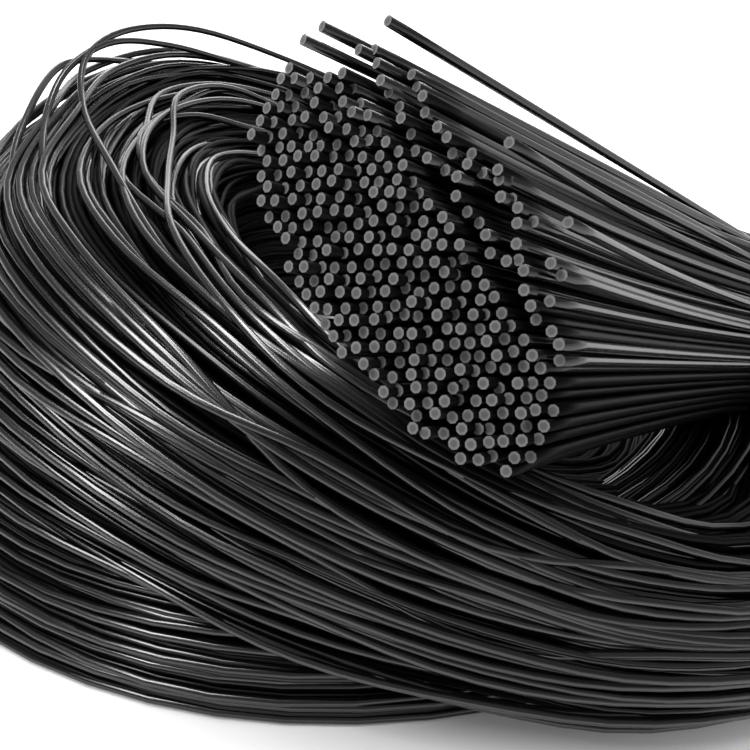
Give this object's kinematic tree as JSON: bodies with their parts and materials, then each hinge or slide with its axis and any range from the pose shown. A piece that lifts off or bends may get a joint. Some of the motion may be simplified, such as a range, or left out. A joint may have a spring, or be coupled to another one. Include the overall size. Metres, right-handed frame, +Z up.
{
  "type": "coil of wire rod",
  "caption": "Loose coil of black steel wire rod, its turns fanned up on one side, with a flared bundle of sheared ends rising across the eye",
  "frame": {"origin": "on the floor, under the middle of the coil's box", "axes": "+Z up; +X towards the side where the turns lie flat; -Y towards the sheared ends"},
  "size_m": [0.9186, 0.8108, 0.3454],
  "materials": {
    "black_rod": "satin black drawn steel rod, sheared ends bare and grey"
  },
  "bodies": {
    "root": {"lower_turns": "black_rod", "middle_turns": "black_rod", "upper_turns": "black_rod", "tail_bend": "black_rod", "cut_rods": "black_rod"}
  },
  "joints": []
}
